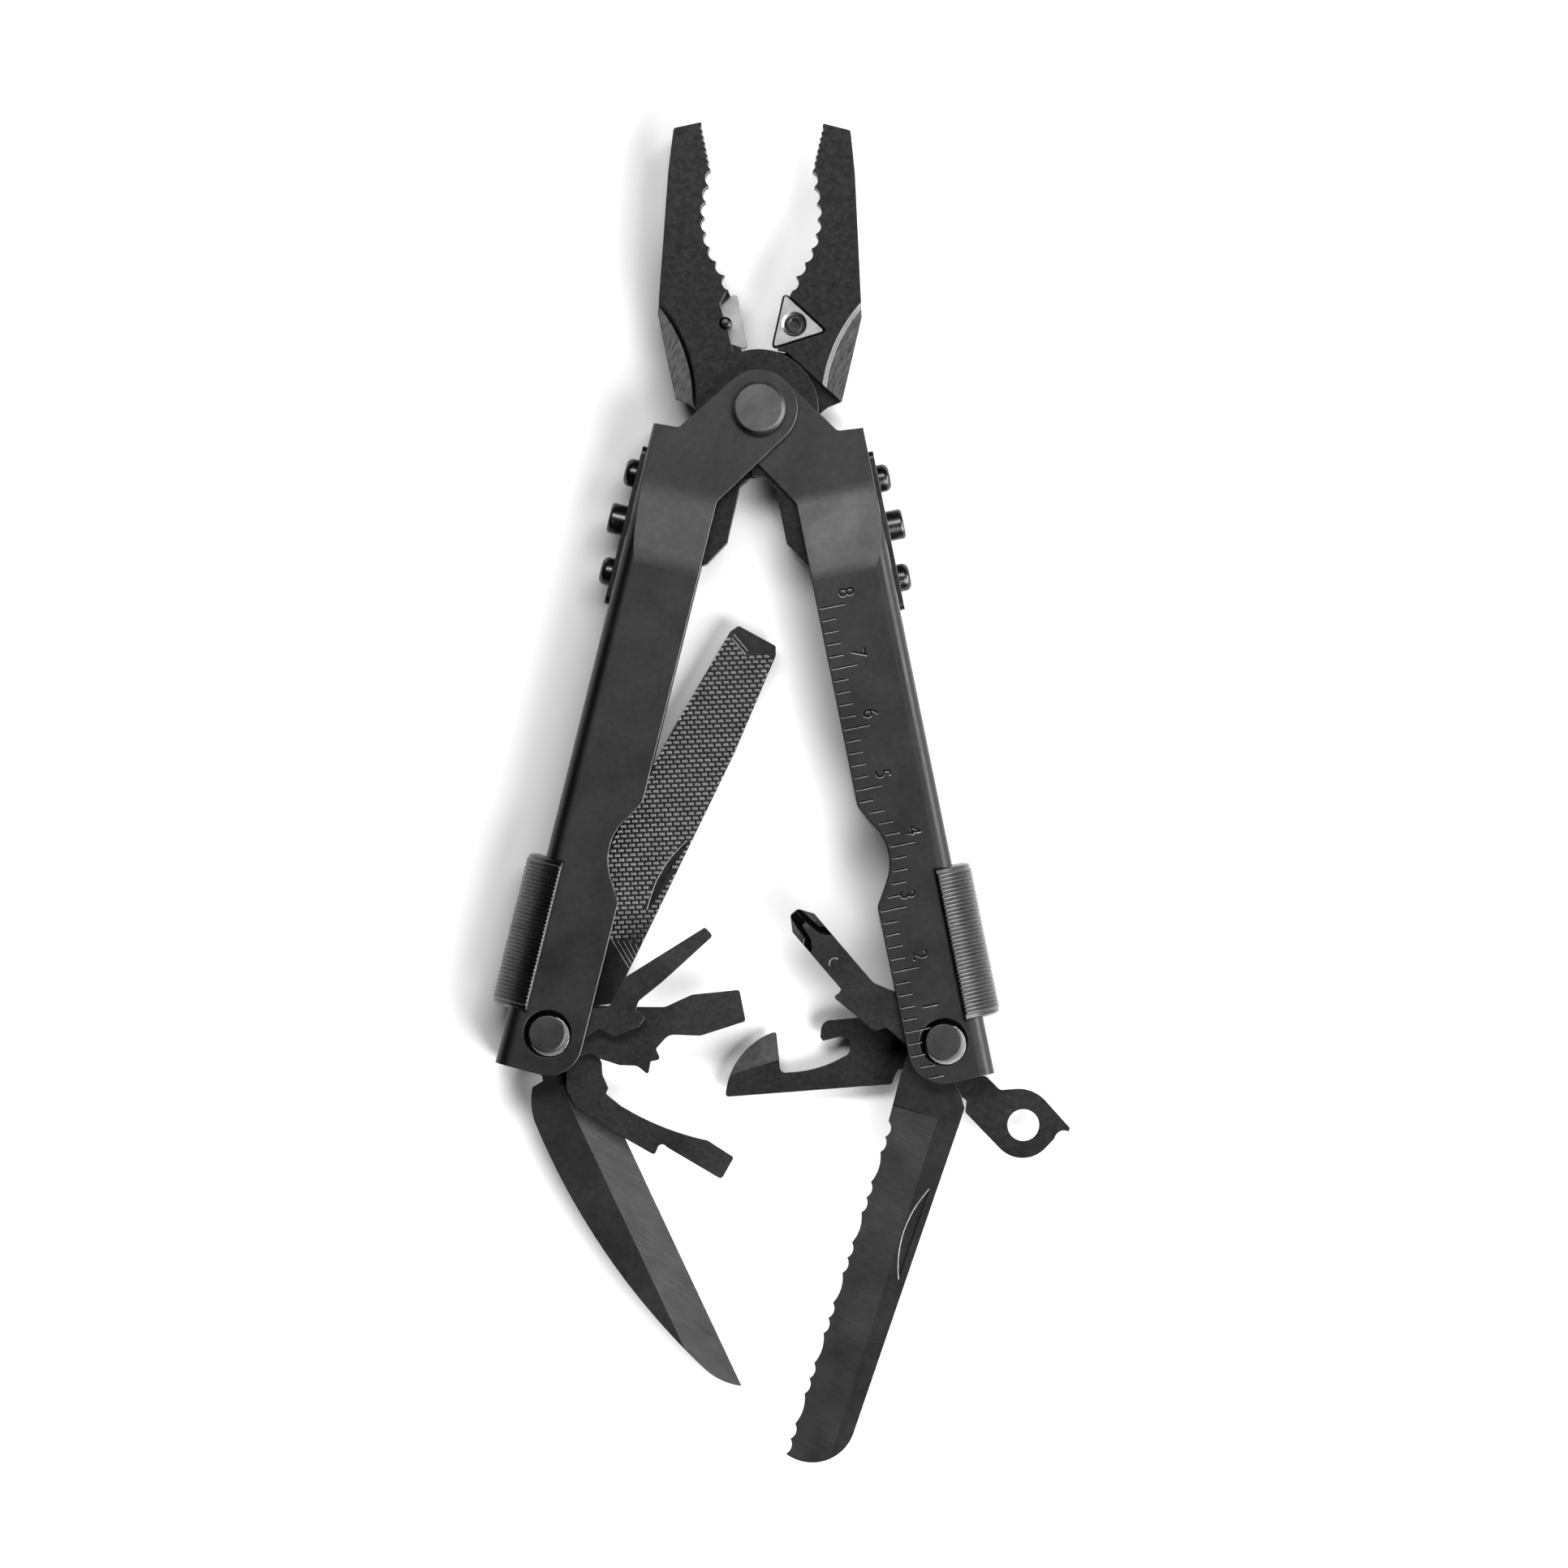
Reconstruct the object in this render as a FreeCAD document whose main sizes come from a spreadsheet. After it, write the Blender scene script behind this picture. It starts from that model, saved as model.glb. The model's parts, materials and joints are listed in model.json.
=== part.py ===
import FreeCAD, Part
import math
import os

import Sketcher
from FreeCAD import Placement, Rotation, Vector

# A pliers multi tool lying on its back with every tool swung out.
# +X runs to the right, +Y towards the jaws, +Z up out of the front face. The origin is on the
# resting surface, under the middle of the whole tool. Each piece is drawn in a frame of its own:
#   jaws     pivot at the origin, closed jaws pointing along +Y
#   handles  pivot at the origin, handle hanging down along -Y
#   tools    own axle at the origin, tool pointing along +Y as it lies folded in the handle
# Left-hand and right-hand pieces share one function, where side is -1 on the left and +1 on the
# right. Height 0 in those frames is the middle of the tool's thickness.
# An outline is a list of corners: (x, y) is a sharp one, (x, y, radius) a rounded one, and
# (via_x, via_y, x, y) ends an arc that passes through the first point.

doc = FreeCAD.newDocument("multi_tool")

SIZES = {
    # where the main pivot stands, and how the parts are turned, in degrees
    "pivot_x": -3.7, "pivot_y": 62.5, "mid_height": 8.7,
    "left_tilt": 13.9, "right_tilt": 11.5,
    "left_jaw_turn": 11.2, "right_jaw_turn": 12.6,
    "file_turn": 27, "small_driver_turn": 56, "medium_driver_turn": 82,
    "large_driver_turn": 125, "knife_blade_turn": 154.8, "phillips_driver_turn": 40.5,
    "can_opener_turn": 94.4, "serrated_blade_turn": 161.1, "lanyard_ring_turn": 223.6,
    # handles: folded sheet steel, with two ears that lap over each other at the pivot
    "plate_half": 7.8, "sheet": 1.3, "outer_ear": 6.8, "inner_ear": 5.45,
    "spine_out": 16.0, "spine_bend": 2.5, "axle_out": 8.9, "axle_down": 106.6,
    "mark_depth": 0.12,
    # pliers head
    "head_half": 4.1, "lap_gap": 0.03, "lap_radius": 9.7, "pin_radius": 3.0, "fit": 0.05,
    "relief_depth": 1.0, "insert_top": 3.3, "insert_bottom": 0.05,
    "insert_bore": 1.05, "insert_seat": 1.52, "countersink": 2.05,
    "rivet_radius": 3.0, "rivet_head_radius": 4.35, "rivet_head": 1.9,
    # tool axles and their snap rings
    "axle_radius": 2.5, "axle_head_radius": 3.0, "axle_head": 0.85,
    "ring_seat": 0.34, "ring_thick": 0.24, "recess_radius": 3.9, "recess_depth": 0.55,
    "tang_radius": 5.5, "notch_radius": 1.0,
    # slide locks and release buttons
    "lock_crown": 10.17, "lock_centre": 8.93, "lock_front": 9.1, "lock_back": 8.7,
    "lock_inner": 7.85, "lip_round": 0.7,
    "lock_top": 78.8, "lock_bottom": 104.0, "lock_lip": 12.9,
    "spring_sheet": 0.8, "button_radius": 2.5, "button_down": 22.8,
    "screw_radius": 2.3, "screw_shank": 1.2, "wire_radius": 0.22, "coil_radius": 0.62,
    # thickness and lowest height of each tool
    "file_low": -6.3, "file_thick": 2.4, "small_driver_low": 4.9, "small_driver_thick": 1.5,
    "medium_driver_low": 1.4, "medium_driver_thick": 1.7,
    "large_driver_low": -0.5, "large_driver_thick": 1.7,
    "knife_blade_low": -3.4, "knife_blade_thick": 2.0,
    "phillips_driver_low": 3.4, "phillips_driver_thick": 3.0,
    "can_opener_low": -6.2, "can_opener_thick": 1.8,
    "serrated_blade_low": 1.3, "serrated_blade_thick": 1.9,
    "lanyard_ring_low": -2.3, "lanyard_ring_thick": 1.5, "lanyard_hole": 2.6,
}
THROUGH = "80"                       # a cut of this length goes through any piece

sheet = doc.addObject("Spreadsheet::Sheet", "Dimensions")
for row, (alias, value) in enumerate(SIZES.items(), start=1):
    sheet.set(f"A{row}", str(value))
    sheet.setAlias(f"A{row}", alias)
doc.recompute()

RIGHT, LEFT = 1, -1
SIDE_NAME = {LEFT: "left", RIGHT: "right"}
made = {}


def size(alias):
    return float(sheet.get(alias))


def bound(words):
    """An expression in which each [alias] stands for a value of the sheet."""
    for alias in SIZES:
        words = words.replace(f"[{alias}]", f"Dimensions.{alias}")
    return words


# ---------------------------------------------------------------- outlines and features

def landing(item):
    return Vector(item[2], item[3]) if len(item) == 4 else Vector(item[0], item[1])


def rounding(item, before, after):
    """Start, middle and end of the arc that rounds a corner."""
    corner = landing(item)
    back, ahead = (before - corner).normalize(), (after - corner).normalize()
    half = back.getAngle(ahead) / 2
    reach = item[2] / math.tan(half)
    centre = corner + (back + ahead).normalize() * (item[2] / math.sin(half))
    middle = centre + (corner - centre).normalize() * item[2]
    return corner + back * reach, middle, corner + ahead * reach


def mirrored(outline, side):
    """The outline with its x values turned to the given side."""
    return [tuple(v * side if n in (0, 2) and not (len(item) == 3 and n == 2) else v
                  for n, v in enumerate(item)) for item in outline]


def draw(sketch, outline):
    stops = []
    for index, item in enumerate(outline):
        if len(item) == 3:
            after = landing(outline[(index + 1) % len(outline)])
            stops.append(rounding(item, landing(outline[index - 1]), after))
        else:
            stops.append((landing(item), None, landing(item)))
    for index, item in enumerate(outline):
        start, (arrive, middle, leave) = stops[index - 1][2], stops[index]
        if len(item) == 4:
            sketch.addGeometry(Part.Arc(start, Vector(item[0], item[1]), arrive))
        elif start.distanceToPoint(arrive) > 1e-6:
            sketch.addGeometry(Part.LineSegment(start, arrive))
        if middle:
            sketch.addGeometry(Part.Arc(arrive, middle, leave))


def ring(sketch, centre, radius):
    """A circle whose radius follows an expression."""
    number = sketch.addGeometry(Part.Circle(Vector(*centre), Vector(0, 0, 1), 1))
    rule = sketch.addConstraint(Sketcher.Constraint("Radius", number, 1))
    sketch.setExpression(f"Constraints[{rule}]", bound(radius))


def new_body(label):
    body = doc.addObject("PartDesign::Body", label)
    body.Label = label
    return body


def new_sketch(body, name, plane="XY_Plane", offset=None):
    sketch = body.newObject("Sketcher::SketchObject", name)
    support = next(f for f in body.Origin.OriginFeatures if f.Role == plane)
    sketch.AttachmentSupport = [(support, "")]
    sketch.MapMode = "FlatFace"
    if offset:
        sketch.setExpression("AttachmentOffset.Base.z", bound(offset))
    return sketch


def pad(body, sketch, length, reverse=False, symmetric=False):
    feature = body.newObject("PartDesign::Pad", "Pad")
    feature.Profile = sketch
    feature.Reversed = reverse
    if symmetric:
        feature.SideType = "Symmetric"
    feature.setExpression("Length", bound(length))
    doc.recompute()
    return feature


def pocket(body, sketch, length, reverse=False, symmetric=False, slope=0.0):
    """A cut with upright sides, or with sides that lean by a slope in degrees."""
    before = body.Shape.Volume
    feature = body.newObject("PartDesign::Pocket", "Pocket")
    feature.Profile = sketch
    feature.Reversed = reverse
    if symmetric:
        feature.SideType = "Symmetric"
    feature.TaperAngle = slope
    feature.setExpression("Length", bound(length))
    doc.recompute()
    if not body.Shape.Volume < before - 1e-4:
        raise RuntimeError(f"a pocket in {body.Label} cuts nothing")


def layer(body, outline, low, thick):
    """Adds a flat layer from height low upwards."""
    sketch = new_sketch(body, "Outline", offset=low)
    draw(sketch, outline)
    return pad(body, sketch, thick)


def cut_layer(body, outline, high, depth):
    """Cuts a flat-bottomed recess from height high downwards."""
    sketch = new_sketch(body, "Recess", offset=high)
    draw(sketch, outline)
    pocket(body, sketch, depth)


def bore(body, centre, radius):
    """A hole along Z through the whole body."""
    sketch = new_sketch(body, "Bore")
    ring(sketch, centre, radius)
    pocket(body, sketch, THROUGH, symmetric=True)


def revolve(body, sketch, axis):
    feature = body.newObject("PartDesign::Revolution", "Revolution")
    feature.Profile = sketch
    feature.ReferenceAxis = (sketch, [axis])
    feature.Angle = 360
    doc.recompute()


def side_bore(body, side, down, radius):
    """A hole along X through the spine, on the middle plane."""
    sketch = new_sketch(body, "SideBore", "YZ_Plane", f"{side} * ([spine_out] + 5)")
    ring(sketch, (-down, 0), radius)
    pocket(body, sketch, "[sheet] + 6", reverse=side < 0)


def place(thing, x, y, turn):
    thing.setExpression("Placement.Base.x", bound(x))
    thing.setExpression("Placement.Base.y", bound(y))
    thing.setExpression("Placement.Base.z", bound("[mid_height]"))
    thing.setExpression("Placement.Rotation.Angle", bound(turn))


def keep(thing, label):
    thing.Label = label
    made[label] = thing


def tilt(side):
    return f"{side} * [{SIDE_NAME[side]}_tilt]"


def on_handle(thing, side, label):
    place(thing, "[pivot_x]", "[pivot_y]", tilt(side))
    keep(thing, label)


def on_axle(thing, side, turn, label):
    lean = f"[{SIDE_NAME[side]}_tilt]"
    place(thing, f"[pivot_x] + {side} * ([axle_out] * cos({lean}) + [axle_down] * sin({lean}))",
          f"[pivot_y] + [axle_out] * sin({lean}) - [axle_down] * cos({lean})", turn)
    keep(thing, label)


# ---------------------------------------------------------------- handles

EAR_END, EAR_START = 16.4, 28.0      # the bend that sets the ears inwards runs between these
BEND_REACH = 1.4                     # length from a bend's middle to where it straightens
FAR = 120.0                          # beyond the end of any handle


def plate_outline():
    return [
        (16.0, -6.4), (11.8, -6.1, 1.0), (5.23, 3.51),
        (-3.43, 5.28, -5.32, -3.37),
        (2.95, -16.4, 1.0), (2.9, -66.4, 1.5), (4.4, -69.2),
        (6.35, -74.6, 5.0, -79.6),
        (2.85, -83.2, 1.5), (2.9, -113.4, 5.5), (16.0, -113.2),
    ]


def handle(side):
    """A U-shaped shell: two plates, a spine between them and the ears at the pivot end."""
    label = f"{SIDE_NAME[side]}_handle"
    body = new_body(label)
    sketch = new_sketch(body, "Plate")
    draw(sketch, mirrored(plate_outline(), side))
    pad(body, sketch, "2 * [plate_half]", symmetric=True)

    # The left handle has its front ear outermost and its rear ear innermost, and the right
    # handle the other way about, so the four ears interleave.
    plate, thick = size("plate_half"), size("sheet")
    front, rear = size("outer_ear"), size("inner_ear")
    if side == RIGHT:
        front, rear = rear, front
    outside = new_sketch(body, "EarsOutside", "YZ_Plane")
    for sign, ear in ((1, front), (-1, rear)):
        soft = BEND_REACH / math.tan(math.atan((plate - ear) / (EAR_START - EAR_END)) / 2)
        draw(outside, [(10, 9 * sign), (10, ear * sign), (-EAR_END, ear * sign, soft),
                       (-EAR_START, plate * sign, soft), (-EAR_START - 5, (plate + 0.01) * sign),
                       (-EAR_START - 5, 9 * sign)])
    pocket(body, outside, THROUGH, symmetric=True)

    # The spine turns into each plate through a rounded bend.
    out, bend = size("spine_out"), size("spine_bend")
    slant = bend * math.sqrt(0.5)
    bends = new_sketch(body, "SpineBends", "XZ_Plane")
    for sign in (1, -1):
        draw(bends, mirrored([(out - bend, 9 * sign), (out - bend, plate * sign),
                              (out - bend + slant, (plate - bend + slant) * sign,
                               out, (plate - bend) * sign),
                              (out + 1, (plate - bend) * sign), (out + 1, 9 * sign)], side))
    pocket(body, bends, f"2 * {FAR}", symmetric=True)

    channel = new_sketch(body, "Channel", "YZ_Plane", f"{side} * ([spine_out] - [sheet])")
    draw(channel, [(10, front - thick), (-EAR_END, front - thick), (-EAR_START, plate - thick),
                   (-FAR, plate - thick), (-FAR, thick - plate), (-EAR_START, thick - plate),
                   (-EAR_END, thick - rear), (10, thick - rear)])
    pocket(body, channel, THROUGH, reverse=side < 0)

    bore(body, (0, 0), "[rivet_radius] + [fit]")
    axle_at = (side * size("axle_out"), -size("axle_down"))
    bore(body, axle_at, "[axle_radius] + 0.02")
    recess = new_sketch(body, "RingRecess", offset="[plate_half]")
    ring(recess, axle_at, "[recess_radius]")
    pocket(body, recess, "[recess_depth]")
    side_bore(body, side, size("button_down"), "[button_radius] + 0.1")
    for down in SCREWS_DOWN:
        side_bore(body, side, down, "[screw_shank] + 0.02")

    # A slot in the spine lets the lock bar's stem reach the slide lock.
    slot = new_sketch(body, "StemSlot", "YZ_Plane", f"{side} * ([spine_out] + 5)")
    draw(slot, [(-84.4, 0.0, 0.8), (-84.4, 3.9, 0.8), (-97.2, 3.9, 0.8), (-97.2, 0.0, 0.8)])
    pocket(body, slot, "[sheet] + 6", reverse=side < 0)

    # A tab stands in from the spine as the seat of the lock spring.
    seat = new_sketch(body, "SpringSeat", "YZ_Plane", f"{side} * ([spine_out] - [sheet] / 2)")
    draw(seat, [(-70.4, 0.9), (-70.4, 3.1), (-71.4, 3.1), (-71.4, 0.9)])
    pad(body, seat, "2.45", reverse=side > 0)

    if side == RIGHT:
        ruler(body)
    on_handle(body, side, label)


def inner_edge(down):
    """How far out the plate's inner edge stands at a distance down the handle."""
    if 66.4 < down < 83.2:
        dip = 1 - ((down - 74.8) / 8.4) ** 2
        return 2.9 + 3.55 * max(dip, 0) ** 0.75
    return 2.9


def ruler(body):
    """Centimetre and 2 mm marks, pressed into the front plate from its inner edge."""
    marks = new_sketch(body, "Marks", offset="[plate_half]")
    first, last, step, width = 33.7, 111.7, 2.0, 0.22
    for number in range(int((last - first) / step) + 1):
        down = first + number * step
        start = inner_edge(down) + 0.25
        length = 4.2 if number % 5 == 0 else 2.3
        if down > 107.5:
            start += (down - 107.5) * 0.55
        draw(marks, [(start, -down), (start + length, -down),
                     (start + length, -down - width), (start, -down - width)])
    pocket(body, marks, "[mark_depth]")


# ---------------------------------------------------------------- pliers head

FLANK_SLOPE = -32.0                  # degrees from upright


def teeth():
    """The gripping edge of a jaw from its tip down: fine teeth, then eight scallops."""
    edge = []
    tip_top, fine_end, pitch = 47.0, 39.6, 1.0
    for number in range(int((tip_top - fine_end) / pitch)):
        top = tip_top - number * pitch
        edge += [(0.12, top), (0.5, top - pitch / 2)]
    edge.append((0.12, fine_end))
    # Eight scallops follow, their tips on a bowed line, so that a round bar is gripped.
    low, depth = 19.9, 0.72
    bow = [0.12, 0.95, 1.95, 2.6, 2.85, 2.7, 2.15, 1.25, 1.15]
    drop = (fine_end - low) / (len(bow) - 1)
    tips = [Vector(reach, fine_end - number * drop) for number, reach in enumerate(bow)]
    for start, end in zip(tips, tips[1:]):
        along = (end - start).normalize()
        deep = (start + end) / 2 + Vector(-along.y, along.x) * depth
        edge.append((deep.x, deep.y, end.x, end.y))
    return edge


def jaw(side):
    """One half of the pliers head: nose, half-thick lap round the pin, and tang."""
    label = f"{SIDE_NAME[side]}_jaw"
    body = new_body(label)
    half = "[head_half]"
    nose = [(0.12, 47.5, 0.2), (4.7, 47.4, 0.5), (6.9, 40.8), (13.1, 18.2, 1.5),
            (12.95, 4.3, 0.4), (10.9, 2.9, 0.8), (9.0, 0.6), (0.0, 4.0), (0.9, 10.0),
            (0.9, 18.9)]
    layer(body, mirrored(nose + back_up(teeth()), side), f"-{half}", f"2 * {half}")
    lap = new_sketch(body, "Lap", offset=f"-{half}")
    ring(lap, (0, 0), "[lap_radius]")
    pad(body, lap, f"2 * {half}")
    tang = [(3.0, -7.0), (3.2, -10.4, 0.4), (1.0, -11.2, 0.4), (-0.2, -13.0, 1.0),
            (-0.25, -22.3, 0.5), (-2.7, -26.4, 0.5), (-4.6, -27.6, 0.8), (-12.4, -27.6, 0.8),
            (-12.4, -23.9, 0.3), (-11.4, -23.9, 0.3), (-11.4, -21.7, 0.3), (-12.4, -21.7, 0.3),
            (-12.4, -11.0, 2.0), (-8.4, -3.2)]
    layer(body, mirrored(tang, side), f"-{half}", f"2 * {half}")

    # The left jaw's lap is the front half of the head and the right jaw's lap the rear half.
    # The other half is cleared in a ring round the pin, up to the straight step under the nose.
    clear = [(-14, 10.05), (2.3, 10.05), (12.75, 4.15), (17, 1.75), (17, -8), (8.4, -8.0),
             (0, -11.6, -11.6, 0), (-14, 0)]
    cutter_gap = [(-2, 9.9), (2.2, 9.9), (2.9, 18.0), (1.6, 19.6), (-2, 19.6)]
    triangle = insert_outline(5.75)
    if side == LEFT:
        cut_layer(body, mirrored(clear, side), "[lap_gap]", f"{half} + 1")
        cut_layer(body, mirrored(cutter_gap, side), f"{half} + 1", f"{half} + 1")
        cut_layer(body, mirrored(triangle, side), "0", f"{half} + 1")
    else:
        cut_layer(body, mirrored(clear, side), f"{half} + 1", f"{half} + 1 + [lap_gap]")
        cut_layer(body, mirrored(cutter_gap, side), "0", f"{half} + 1")
        cut_layer(body, mirrored(triangle, side), f"{half} + 1", f"{half} + 1")

    # The outer flank is ground back on both faces so that it slides inside the handle.
    # The step at its inner border slopes.
    flank = [(17, 24.8), (12.75, 21.0), (9.9, 14.0, 9.6, 3.6), (9.4, -2), (17, -2)]
    for face in (1, -1):
        border = new_sketch(body, "Flank", offset=f"{face} * {half}")
        draw(border, mirrored(flank, side))
        pocket(body, border, "[relief_depth]", reverse=face < 0, slope=FLANK_SLOPE)
    bore(body, (0, 0), "[pin_radius] + [fit]")
    bore(body, (side * INSERT_AT[0], INSERT_AT[1]), "[insert_bore]")
    place(body, "[pivot_x]", "[pivot_y]", f"{-side} * [{SIDE_NAME[side]}_jaw_turn]")
    keep(body, label)


def back_up(edge):
    """An outline's stretch taken in the opposite direction, with its arcs kept."""
    turned = [(edge[-1][-2], edge[-1][-1])]
    for index in range(len(edge) - 1, 0, -1):
        end = edge[index - 1][-2:]
        item = edge[index]
        turned.append((item[0], item[1]) + end if len(item) == 4 else end)
    return turned


INSERT_AT = (2.6, 14.7)
SEAT_SLOPE = -55.0                   # degrees from upright


def insert_outline(reach):
    """A triangle with one side along the cutting edge and rounded corners."""
    corners = []
    for degrees in (0, 120, 240):
        angle = math.radians(degrees)
        corners.append((INSERT_AT[0] + reach * math.cos(angle),
                        INSERT_AT[1] + reach * math.sin(angle), 0.6))
    return corners


def cutter_insert(side):
    """A replaceable carbide triangle that cuts wire against the one in the other jaw."""
    label = f"{SIDE_NAME[side]}_cutter_insert"
    body = new_body(label)
    thick = "[insert_top] - [insert_bottom]"
    low = "[insert_bottom]" if side == RIGHT else "-[insert_top]"
    feature = layer(body, mirrored(insert_outline(5.6), side), low, thick)
    rims = [f"Edge{n}" for n, edge in enumerate(feature.Shape.Edges, start=1)
            if edge.BoundBox.ZLength < 0.01
            and abs(edge.BoundBox.Center.z) > size("insert_top") - 0.01]
    bevel = body.newObject("PartDesign::Chamfer", "Bevel")
    bevel.Base = (feature, rims)
    bevel.Size = 0.3
    doc.recompute()
    centre = (side * INSERT_AT[0], INSERT_AT[1])
    bore(body, centre, "[insert_bore]")
    face = "[insert_top]" if side == RIGHT else "-[insert_top]"
    for radius, depth, slope in (("[insert_seat]", "1.3", 0.0),
                                 ("[countersink]", "0.35", SEAT_SLOPE)):
        seat = new_sketch(body, "ScrewSeat", offset=face)
        ring(seat, centre, radius)
        pocket(body, seat, depth, reverse=side == LEFT, slope=slope)
    place(body, "[pivot_x]", "[pivot_y]", f"{-side} * [{SIDE_NAME[side]}_jaw_turn]")
    keep(body, label)


def insert_screw(side):
    """A small countersunk screw with a hexagon socket, its end showing on the far face."""
    label = f"{SIDE_NAME[side]}_insert_screw"
    body = new_body(label)
    sketch = new_sketch(body, "Profile", "XZ_Plane")
    sketch.AttachmentOffset = Placement(Vector(side * INSERT_AT[0], 0, -INSERT_AT[1]), Rotation())
    face = side
    draw(sketch, [(0, 3.15 * face), (1.3, 3.15 * face), (1.47, 2.95 * face), (1.47, 2.06 * face),
                  (1.0, 2.02 * face), (1.0, -4.2 * face), (0.6, -4.55 * face), (0, -4.6 * face)])
    revolve(body, sketch, "V_Axis")
    socket = new_sketch(body, "Socket")
    socket.AttachmentOffset = Placement(Vector(side * INSERT_AT[0], INSERT_AT[1], 3.15 * face),
                                        Rotation())
    draw(socket, hexagon(0.95))
    pocket(body, socket, "0.8", reverse=face < 0)
    place(body, "[pivot_x]", "[pivot_y]", f"{-side} * [{SIDE_NAME[side]}_jaw_turn]")
    keep(body, label)


def hexagon(reach):
    return [(reach * math.cos(math.radians(a)), reach * math.sin(math.radians(a)))
            for a in range(0, 360, 60)]


def jaw_pin():
    pin = doc.addObject("Part::Cylinder", "jaw_pin_solid")
    pin.setExpression("Radius", bound("[pin_radius]"))
    pin.setExpression("Height", bound("2 * [head_half]"))
    pin.setExpression("Placement.Base.x", bound("[pivot_x]"))
    pin.setExpression("Placement.Base.y", bound("[pivot_y]"))
    pin.setExpression("Placement.Base.z", bound("[mid_height] - [head_half]"))
    keep(pin, "jaw_pin")


def ear_rivet(label, face):
    """A flat-headed rivet through the two ears of one face."""
    body = new_body(label)
    sketch = new_sketch(body, "Profile", "XZ_Plane")
    inner, outer = size("inner_ear") - size("sheet") + 0.02, size("outer_ear") + 0.02
    shank, head, top = size("rivet_radius"), size("rivet_head_radius"), size("rivet_head")
    profile = [(0, inner), (shank, inner), (shank, outer), (head, outer),
               (head, outer + top - 0.55), (head - 0.55, outer + top - 0.02),
               (0, outer + top - 0.02)]
    draw(sketch, [(x, z * face) for x, z in profile])
    revolve(body, sketch, "V_Axis")
    place(body, "[pivot_x]", "[pivot_y]", "0")
    keep(body, label)


# ---------------------------------------------------------------- tool axles

def tool_axle(side):
    """The axle that the tools of one handle turn on, with a groove for its snap ring."""
    label = f"{SIDE_NAME[side]}_tool_axle"
    body = new_body(label)
    sketch = new_sketch(body, "Profile", "XZ_Plane")
    face = size("plate_half")
    floor = face - size("recess_depth")
    seat = floor + size("ring_seat")
    shank, head, top = size("axle_radius"), size("axle_head_radius"), size("axle_head")
    draw(sketch, [(0, -face - 0.7), (head - 0.3, -face - 0.7), (head, -face - 0.4),
                  (head, -face - 0.02), (shank, -face - 0.02), (shank, floor - 0.1),
                  (shank - 0.3, floor), (shank - 0.3, seat), (head, seat),
                  (head, seat + top - 0.15), (head - 0.15, seat + top), (0, seat + top)])
    revolve(body, sketch, "V_Axis")
    on_axle(body, side, "0", label)


def snap_ring(side):
    """An open ring in the axle's groove, wider on one side, so that it shows as a crescent."""
    label = f"{SIDE_NAME[side]}_snap_ring"
    body = new_body(label)
    low = "[plate_half] - [recess_depth] + 0.05"
    disc = new_sketch(body, "Disc", offset=low)
    ring(disc, (0.55, 0), "3.25")
    pad(body, disc, "[ring_thick]")
    bore(body, (0, 0), "[axle_radius] - 0.25")
    cut_layer(body, [(-5, -1.5), (0, -1.5), (0, 1.5), (-5, 1.5)], f"{low} + 1", "2")
    on_axle(body, side, "-48", label)


def washers(side, spans):
    """The spacers that hold the tools of one axle apart, one ring for each gap."""
    label = f"{SIDE_NAME[side]}_washers"
    rings = []
    for low, high in spans:
        outer = doc.addObject("Part::Cylinder", "WasherDisc")
        inner = doc.addObject("Part::Cylinder", "WasherHole")
        outer.Radius = 4.6
        inner.setExpression("Radius", bound("[axle_radius] + [fit]"))
        outer.Height, inner.Height = high - low, high - low + 2
        outer.Placement.Base.z, inner.Placement.Base.z = low, low - 1
        spacer = doc.addObject("Part::Cut", "Washer")
        spacer.Base, spacer.Tool = outer, inner
        rings.append(spacer)
    group = doc.addObject("Part::Compound", label)
    group.Links = rings
    on_axle(group, side, "0", label)


# ---------------------------------------------------------------- spine fittings

SCREWS_DOWN = (14.9, 31.4)


def spring_plate(side):
    """A flat spring on the spine that pushes the release button back out."""
    label = f"{SIDE_NAME[side]}_spring_plate"
    body = new_body(label)
    sketch = new_sketch(body, "Leaf", "YZ_Plane", f"{side} * ([spine_out] + 0.02)")
    draw(sketch, [(-10.3, -3.3, 1.2), (-10.3, 3.3, 1.2), (-36.6, 2.6, 1.2), (-36.6, -2.6, 1.2)])
    pad(body, sketch, "[spring_sheet]", reverse=side < 0)
    side_bore(body, side, size("button_down"), "[button_radius] + 0.1")
    for down in SCREWS_DOWN:
        side_bore(body, side, down, "[screw_shank] + 0.02")
    on_handle(body, side, label)


def plate_screws(side):
    """The two button-head screws that hold the spring plate to the spine."""
    label = f"{SIDE_NAME[side]}_plate_screws"
    start = size("spine_out") + size("spring_sheet") + 0.04
    head, shank = size("screw_radius"), size("screw_shank")
    screws = []
    for down in SCREWS_DOWN:
        body = new_body("PlateScrew")
        sketch = new_sketch(body, "Profile")
        sketch.AttachmentOffset = Placement(Vector(0, -down, 0), Rotation())
        draw(sketch, mirrored([(14.9, 0), (14.9, shank), (start, shank), (start, head),
                               (start + 0.8, head),
                               (start + 1.6, head * 0.85, start + 1.9, head * 0.5),
                               (start + 1.9, 0)], side))
        revolve(body, sketch, "H_Axis")
        socket = new_sketch(body, "Socket", "YZ_Plane")
        socket.AttachmentOffset = Placement(Vector(-down, 0, side * (start + 1.9)), Rotation())
        draw(socket, hexagon(1.05))
        pocket(body, socket, "1.1", reverse=side < 0)
        screws.append(body)
    group = doc.addObject("Part::Compound", label)
    group.Links = screws
    on_handle(group, side, label)


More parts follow.
